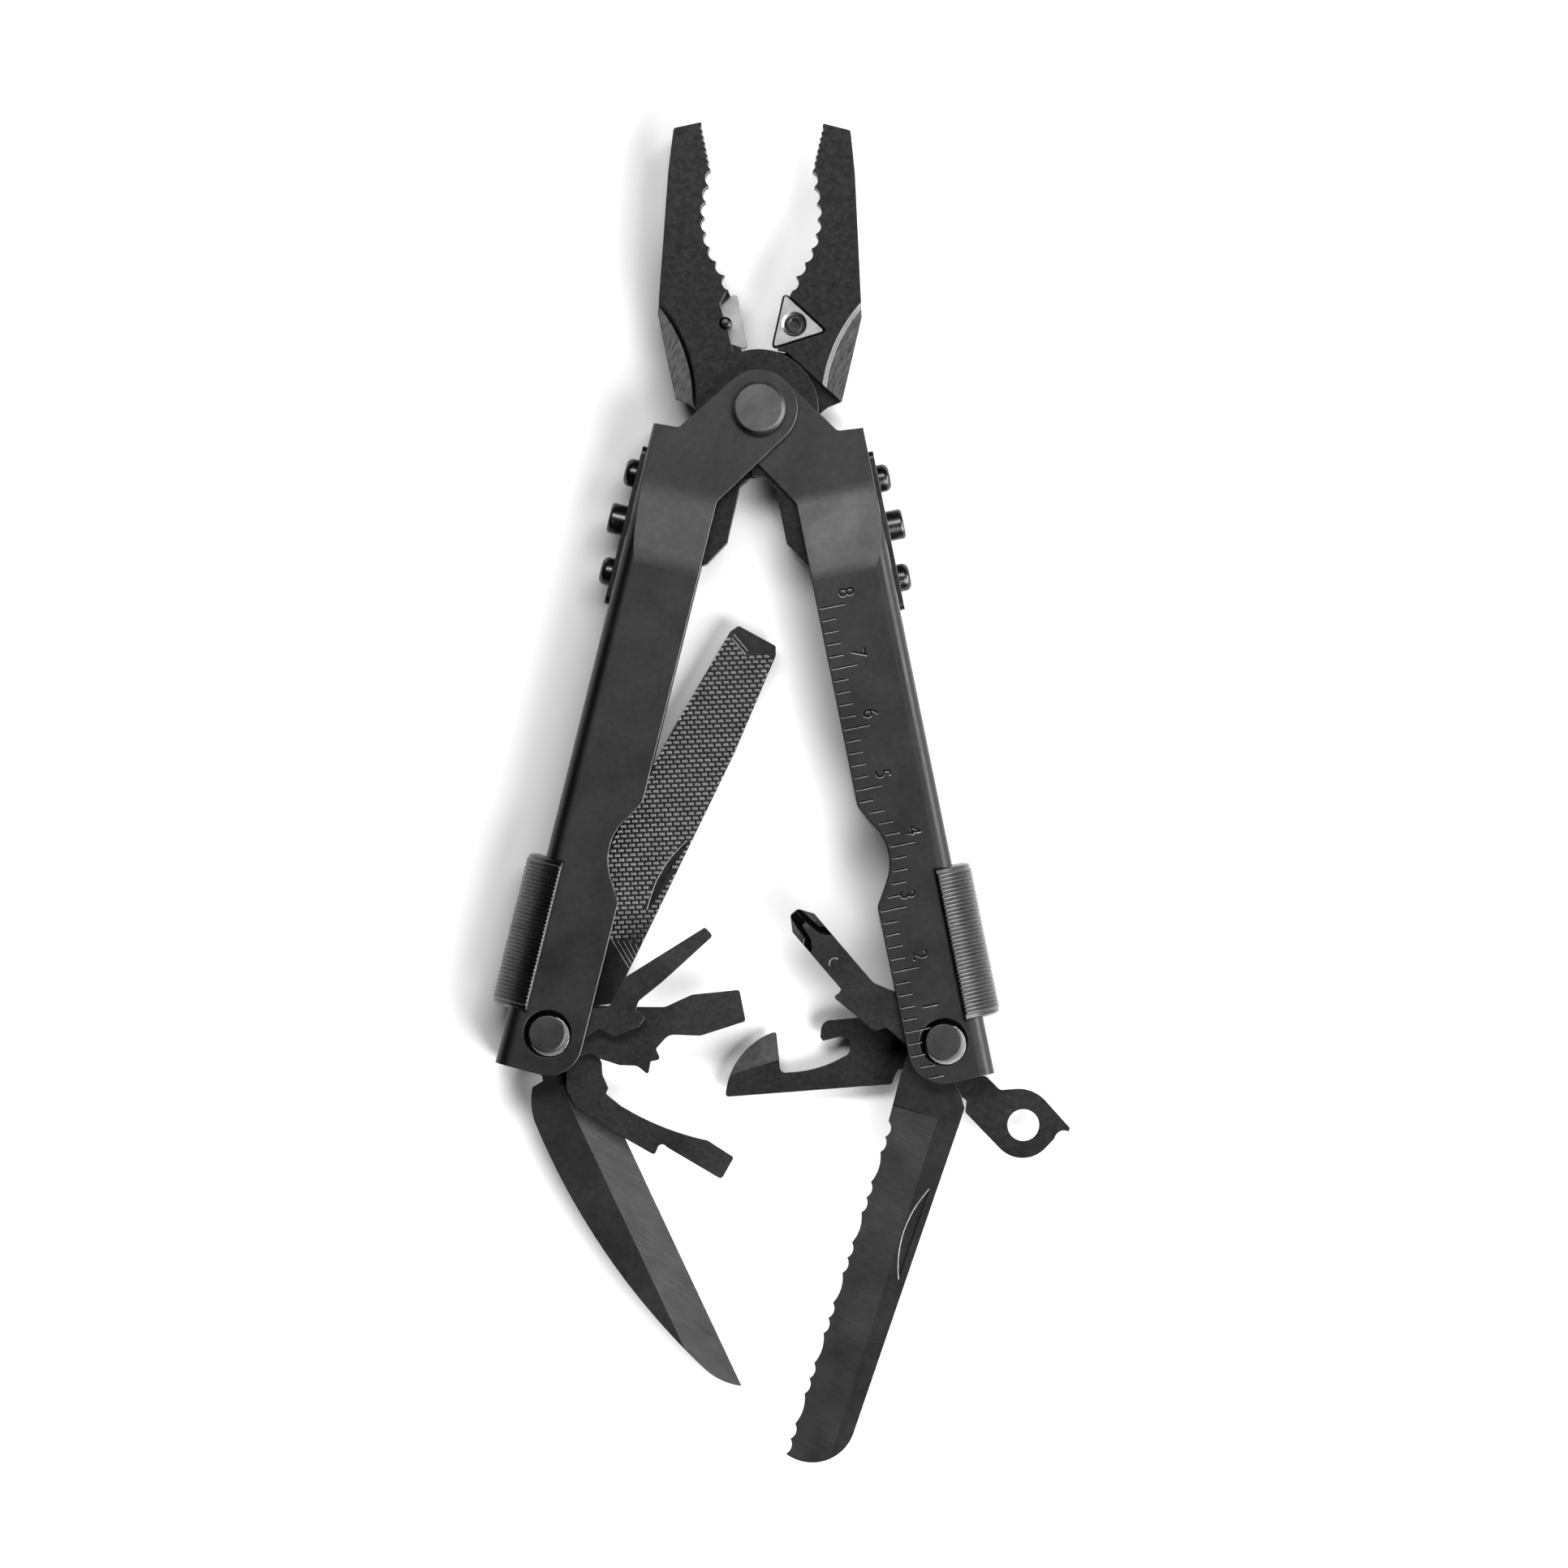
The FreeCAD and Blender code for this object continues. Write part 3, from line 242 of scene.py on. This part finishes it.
LOOKS = {
    # The shell's band paints the floors of the axle recesses near black: painted shade.
    "handle_shell": metal("shell", 0.025, 0.031, 0.38, 0.30, wear=0.35, edge=0.25,
                          mottle_scale=900.0, grain=0.15, patch_low=0.8,
                          band=(15.90, 15.98, 0.002, 1.0)),
    # The jaws' steep faces towards the right get a painted highlight of tone 0.21.
    "jaw_steel": metal("jaw", 0.009, 0.019, 0.42, 0.28, wear=0.4, edge=0.2, grain=0.5,
                       mottle_scale=1300.0, right_highlight=0.21, band=(11.76, 11.84, 0.07, 0.1)),
    "carbide": metal("carbide", 0.17, 0.24, 0.34, 0.6, wear=0.4, edge=0.12,
                     brush=(500, 4000, 500), brush_turn=0.5),
    "dark_screw": metal("dark_screw", 0.02, 0.04, 0.26, 0.45, wear=0.8, edge=0.15),
    "rivet_steel": metal("rivet", 0.050, 0.070, 0.36, 0.4, wear=0.5, edge=0.3,
                         brush=(400, 3000, 400), brush_turn=0.6),
    "axle_steel": metal("axle", 0.042, 0.058, 0.36, 0.4, wear=0.5, edge=0.25,
                        brush=(400, 3000, 400), brush_turn=-0.4),
    "ring_steel": metal("snap_ring", 0.5, 0.62, 0.28, 0.8, wear=0.5),
    "spring_steel": metal("leaf_spring", 0.022, 0.036, 0.34, 0.35, wear=0.6),
    "plate_screw": metal("plate_screw", 0.03, 0.05, 0.26, 0.45, wear=0.7, edge=0.2),
    "button_steel": metal("button", 0.035, 0.06, 0.25, 0.5, wear=0.7, edge=0.25),
    "lock_steel": metal("slide_lock", 0.030, 0.045, 0.30, 0.4, wear=0.3, edge=0.10,
                        grain=0.15, mottle_scale=900.0, patch_low=0.8),
    "file_steel": metal("file_steel", 0.014, 0.026, 0.42, 0.35, wear=0.4),
    # The drivers' band paints their level faces at 14.04 to 14.25 mm near black: painted shade.
    "driver_steel": metal("driver", 0.019, 0.032, 0.38, 0.32, wear=0.4, grain=0.5,
                          mottle_scale=1200.0, band=(14.04, 14.25, 0.002, 1.0)),
    "blade_steel": metal("blade", 0.024, 0.033, 0.36, 0.5, wear=0.5, edge=0.1,
                         brush=(350, 2600, 350), brush_turn=0.6, mottle_scale=800.0,
                         grind=0.055),
    "tool_steel": metal("small_tool", 0.015, 0.027, 0.40, 0.32, wear=0.4, grain=0.4,
                        mottle_scale=1200.0),
}
# Painted light for the small pieces: a painted highlight for lit lips and edges, and painted shade
# for the floors of pressed marks.
PAINTED_HIGHLIGHT = metal("painted_highlight_edge", 0.20, 0.28, 0.34, 0.5, wear=0.3)
GROOVE_SHADE = metal("painted_groove_shade", 0.004, 0.008, 0.55, 0.05, wear=0.1)
TEETH = metal("file_teeth", 0.050, 0.085, 0.36, 0.4, wear=0.4, edge=0.06)
SLOT_OF = {part["node"]: part["material_slot"] for part in frame["record"]["subparts"]}
for node, thing in frame["nodes"].items():
    thing.data.materials.clear()
    thing.data.materials.append(LOOKS[SLOT_OF[node]])

# ------------------------------------------------------------------ small pieces

def mesh_piece(name, corners, faces, look, body):
    """A mesh of the given corners, in mm, that moves with a body."""
    mesh = bpy.data.meshes.new(name)
    mesh.from_pydata([(x * MM, y * MM, z * MM) for x, y, z in corners], [], faces)
    mesh.update()
    thing = bpy.data.objects.new(name, mesh)
    bpy.context.scene.collection.objects.link(thing)
    thing.data.materials.append(look)
    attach(thing, body)
    return thing


BOX_FACES = [(3, 2, 1, 0), (4, 5, 6, 7), (0, 1, 5, 4), (1, 2, 6, 5), (2, 3, 7, 6), (3, 0, 4, 7)]


def add_block(corners, faces, base, top):
    """Adds a closed six-sided block to a mesh's lists, from its four base and four top corners."""
    first = len(corners)
    corners += base + top
    faces += [tuple(first + n for n in face) for face in BOX_FACES]


def inner_edge(down):
    """How far out the right plate's inner edge stands, as in the solid model."""
    if 66.4 < down < 83.2:
        return 2.9 + 3.55 * max(1 - ((down - 74.8) / 8.4) ** 2, 0) ** 0.75
    return 2.9


def add_stroke(corners, faces, path, width, low, high):
    """Adds a ribbon of short blocks, each on one stretch of a path of (x, y) points."""
    for (x0, y0), (x1, y1) in zip(path, path[1:]):
        length = math.hypot(x1 - x0, y1 - y0)
        side_x, side_y = (y0 - y1) / length * width / 2, (x1 - x0) / length * width / 2
        outline = [(x0 - side_x, y0 - side_y), (x1 - side_x, y1 - side_y),
                   (x1 + side_x, y1 + side_y), (x0 + side_x, y0 + side_y)]
        add_block(corners, faces, [p + (low,) for p in outline], [p + (high,) for p in outline])


def stroke_piece(name, paths, width, surface, look, body, rise=0.03):
    """Fine lines standing a little above a surface."""
    corners, faces = [], []
    for path in paths:
        add_stroke(corners, faces, path, width, surface - 0.02, surface + rise)
    mesh_piece(name, corners, faces, look, body)


def bow(centre, radius, start, end, steps=12):
    """Points on an arc between two angles in degrees."""
    turns = [math.radians(start + (end - start) * n / steps) for n in range(steps + 1)]
    return [(centre[0] + radius * math.cos(t), centre[1] + radius * math.sin(t)) for t in turns]


# Ruler marks down the right handle: every 2 mm, longer at each centimetre, 8 at the top.
RULER_FIRST, RULER_LAST, RULER_STEP = 33.7, 111.7, 2.0
LONG_MARK, SHORT_MARK = 4.2, 2.3
MARKS_PER_CM, TOP_NUMERAL = 5, 8
NUMERAL_SIZE = 3.6


def ruler_lines():
    """Painted shade on the floor and a painted highlight on the lower lip of each pressed ruler
    mark.
    """
    grooves, lips = [], []
    for number in range(int((RULER_LAST - RULER_FIRST) / RULER_STEP) + 1):
        down = RULER_FIRST + number * RULER_STEP
        start = inner_edge(down) + 0.25 + max(down - 107.5, 0) * 0.55
        end = start + (LONG_MARK if number % MARKS_PER_CM == 0 else SHORT_MARK)
        for lines, level in ((grooves, down + 0.06), (lips, down + 0.27)):
            lines.append([on_handle("right", start, level), on_handle("right", end, level)])
    stroke_piece("ruler_groove_shade", grooves, 0.20, PLATE_TOP, GROOVE_SHADE, "right_grip",
                 rise=0.01)
    stroke_piece("ruler_edge_highlights", lips, 0.15, PLATE_TOP, PAINTED_HIGHLIGHT, "right_grip")


def glyph(name, number, shift, rise, look):
    """A flat numeral beside its centimetre mark, shifted towards the foot of the handle."""
    curve = bpy.data.curves.new(name, "FONT")
    curve.body = str(number)
    curve.size = NUMERAL_SIZE * MM
    curve.extrude = rise * MM
    text = bpy.data.objects.new(f"{name}_curve", curve)
    bpy.context.scene.collection.objects.link(text)
    mark = RULER_FIRST + (TOP_NUMERAL - number) * MARKS_PER_CM * RULER_STEP
    out = 6.75 + (inner_edge(mark) - inner_edge(0)) * 0.85
    down = mark - (4.2 if number == 1 else 2.5)
    x, y = on_handle("right", out - shift * 0.5, down + shift)
    turn = math.radians(TILT["right"] - 90)
    text.matrix_world = (Matrix.Translation((x * MM, y * MM, PLATE_TOP * MM))
                         @ Matrix.Rotation(turn, 4, "Z") @ Matrix.Scale(0.88, 4, (1, 0, 0)))
    bpy.context.view_layer.update()
    mesh = bpy.data.meshes.new_from_object(text.evaluated_get(
        bpy.context.evaluated_depsgraph_get()))
    mesh.transform(text.matrix_world)
    bpy.data.objects.remove(text)
    piece = bpy.data.objects.new(name, mesh)
    bpy.context.scene.collection.objects.link(piece)
    piece.data.materials.clear()
    piece.data.materials.append(look)
    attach(piece, "right_grip")


def numeral(number):
    """A pressed numeral: its strokes in painted shade over a copy in painted highlight, shifted to
    show along their lower edges.
    """
    glyph(f"numeral_{number}_lip", number, 0.16, 0.015, PAINTED_HIGHLIGHT)
    glyph(f"numeral_{number}", number, 0.0, 0.035, GROOVE_SHADE)


# How far each tool is swung open, in degrees, and the height of its top face.
FILE_TURN, SERRATED_TURN, PHILLIPS_TURN = 27.0, 161.1, 40.5
FILE_LOW, FILE_THICK = -6.3, 2.4     # the file's lower face, from the middle plane, and thickness
FILE_TOP = MID_HEIGHT + FILE_LOW + FILE_THICK
SERRATED_TOP = MID_HEIGHT + 1.3 + 1.9
PHILLIPS_TOP = MID_HEIGHT + 3.4 + 3.0

# Outlines as (along, across) points: the file's two long edges and its nail nick.
FILE_UPPER = [(13.9, 7.1), (30.7, 6.8), (54.3, 6.3), (71.5, 5.1)]
FILE_LOWER = [(13.9, -4.8), (37.0, -4.8), (54.4, -4.3), (71.5, -3.35)]
NICK_LOW = [(25.0, 5.3), (27.5, 4.8), (30.0, 4.5), (32.6, 4.6), (35.0, 5.0), (38.0, 6.0)]
NICK_HIGH = [(25.0, 5.3), (31.5, 5.6), (38.0, 6.0)]
ROW_TURN = math.radians(30)          # how far the rows of teeth lean along the file
ROW_PITCH, BRICK_PITCH = 0.78, 1.24  # between rows, and between the teeth of one row
BRICK_HALF = (0.54, 0.29)            # half a tooth's length and width
TOOTH_RISE = 0.1


def along_line(points, where):
    """The height of a broken line at a place along it."""
    for (a, low), (b, high) in zip(points, points[1:]):
        if where <= b:
            return low + (high - low) * (where - a) / (b - a)
    return points[-1][1]


def file_tooth(corners, faces, centre, face):
    """One brick-shaped tooth, its top sloping like a cut tooth."""
    base, top = [], []
    surface = FILE_LOW + (FILE_THICK if face > 0 else 0)
    for dx, dy in ((-1, -1), (1, -1), (1, 1), (-1, 1)):
        for ring, shrink, rise in ((base, 1.0, -0.02), (top, 0.72, TOOTH_RISE + 0.035 * (dy - dx))):
            step, line = dx * BRICK_HALF[0] * shrink, dy * BRICK_HALF[1] * shrink
            along = centre[0] + step * math.sin(ROW_TURN) + line * math.cos(ROW_TURN)
            across = centre[1] + step * math.cos(ROW_TURN) - line * math.sin(ROW_TURN)
            across = min(max(across, along_line(FILE_LOWER, along) + 0.02),
                         along_line(FILE_UPPER, along) - 0.02)
            ring.append(on_tool("left", FILE_TURN, along, across)
                        + (MID_HEIGHT + surface + face * rise,))
    if face < 0:
        base, top = base[::-1], top[::-1]
    add_block(corners, faces, base, top)


def in_nick(along, across):
    """Whether a place on the file's front lies in its nail nick."""
    if not 24.6 < along < 38.4:
        return False
    return along_line(NICK_LOW, along) - 0.35 < across < along_line(NICK_HIGH, along) + 0.3


def is_cut(along, across, face):
    """Whether a face of the file has a tooth at a place."""
    start = 18.1 + max(across - 2.2, 0) * 0.31
    end = 69.6 + 0.4 * abs(across - 1.0)
    edges = along_line(FILE_LOWER, along) - 0.2, along_line(FILE_UPPER, along) + 0.2
    if not (start < along < end and edges[0] < across < edges[1]):
        return False
    return face < 0 or not in_nick(along, across)


def file_teeth():
    """Cross-cut teeth over both faces of the file."""
    for face, word in ((1, "front"), (-1, "back")):
        corners, faces = [], []
        for line in range(0, 100):
            for brick in range(-45, 25):
                step = (brick + 0.5 * (line % 2)) * BRICK_PITCH
                along = line * ROW_PITCH * math.cos(ROW_TURN) + step * math.sin(ROW_TURN) + 20
                across = step * math.cos(ROW_TURN) - line * ROW_PITCH * math.sin(ROW_TURN) + 8
                if is_cut(along, across, face):
                    file_tooth(corners, faces, (along, across), face)
        mesh_piece(f"file_teeth_{word}", corners, faces, TEETH, "file_body")


def file_lines():
    """Painted highlights along the long diagonal cuts where the teeth start and end, and along the
    lip of the nail nick.
    """
    cuts = [((15.2 + 0.8 * n, 6.95), (18.1 + 0.28 * n, 2.2 + 0.95 * n)) for n in range(5)]
    cuts += [((69.4 + shift, 0.7), (70.8 + shift, -2.6)) for shift in (0.0, 0.7)]
    paths = [[on_tool("left", FILE_TURN, *end) for end in cut] for cut in cuts]
    paths.append([on_tool("left", FILE_TURN, along, level - 0.12) for along, level in NICK_LOW])
    stroke_piece("file_cut_highlights", paths, 0.20, FILE_TOP, PAINTED_HIGHLIGHT, "file_body")


def serrated_lines():
    """A painted highlight on the lower lip of the serrated blade's nail nick."""
    highlight = [(23.4 + 15.6 * n / 12, 5.62 - 1.72 * (1 - (n / 6 - 1) ** 2)) for n in range(13)]
    nick = [on_tool("right", SERRATED_TURN, *p) for p in highlight]
    stroke_piece("serrated_nick_highlight", [nick], 0.22, SERRATED_TOP, PAINTED_HIGHLIGHT, "serrated_body")


def phillips_mark():
    """A small crescent punched in the face of the cross-head driver, drawn as a painted highlight.
    """
    arc = [on_tool("right", PHILLIPS_TURN, *p) for p in bow((21.1, 5.2), 0.9, -75, 75)]
    stroke_piece("phillips_mark", [arc], 0.22, PHILLIPS_TOP, PAINTED_HIGHLIGHT, "phillips_body")


ruler_lines()
for number in range(1, TOP_NUMERAL + 1):
    numeral(number)
file_teeth()
file_lines()
serrated_lines()
phillips_mark()

# ------------------------------------------------------------------ stage, light and camera

def matt(name, value):
    """A plain dull grey surface."""
    material = bpy.data.materials.new(name)
    material.use_nodes = True
    shader = material.node_tree.nodes["Principled BSDF"]
    shader.inputs["Base Color"].default_value = grey(value) + (1.0,)
    shader.inputs["Roughness"].default_value = 0.9
    shader.inputs["Specular IOR Level"].default_value = 0.1
    return material


bpy.ops.mesh.primitive_plane_add(size=6.0, location=(0, 0, 0))
floor = bpy.context.object
floor.name = "floor"
floor.data.materials.append(matt("paper", 0.82))

world = bpy.data.worlds.new("studio")
bpy.context.scene.world = world
world.use_nodes = True
sky = world.node_tree


def eased(value, start, end, low, high):
    """Maps the sky's stretch from start to end onto low to high, with soft ends."""
    result = spread(sky, value, low, high, start, end)
    result.node.interpolation_type = "SMOOTHSTEP"
    return result


# The room is darker to the left and brighter to the right of the tool, and dim overhead.
heading = axes_of(sky, "Generated")
across_room = eased(heading["X"], -0.80, -0.20, 0.10, 1.0)
up_room = eased(heading["Z"], 0.70, 0.95, 0.95, 0.40)
link(sky, times(sky, across_room, up_room), sky.nodes["Background"].inputs["Strength"])


def softbox(name, place, size, watts):
    """An area light, placed in metres, that faces the middle of the tool."""
    data = bpy.data.lights.new(name, "AREA")
    data.shape = "RECTANGLE"
    data.size, data.size_y = size
    data.energy = watts
    lamp = bpy.data.objects.new(name, data)
    bpy.context.scene.collection.objects.link(lamp)
    lamp.location = place
    lamp.rotation_euler = (-Vector(place)).to_track_quat("-Z", "Y").to_euler()


softbox("right_wall", (0.85, -0.12, 0.34), (0.9, 0.4), 18.0)
softbox("key", (0.50, -0.46, 0.82), (0.6, 0.6), 16.0)
softbox("overhead_back", (0.0, 0.38, 0.88), (0.7, 0.24), 8.0)

# The camera looks straight down, from far enough off that the view is nearly parallel.
AIM = (0.4 * MM, 1.6 * MM)
FRAME_WIDTH = 255.2 * MM             # what the picture spans at the tool's middle plane
camera_data = bpy.data.cameras.new("camera")
camera_data.lens = 220.0
camera_data.sensor_width = 36.0
camera = bpy.data.objects.new("camera", camera_data)
bpy.context.scene.collection.objects.link(camera)
far = FRAME_WIDTH * camera_data.lens / camera_data.sensor_width
camera.location = (AIM[0], AIM[1], MID_HEIGHT * MM + far)
bpy.context.scene.camera = camera
bpy.context.scene.view_settings.view_transform = "Standard"
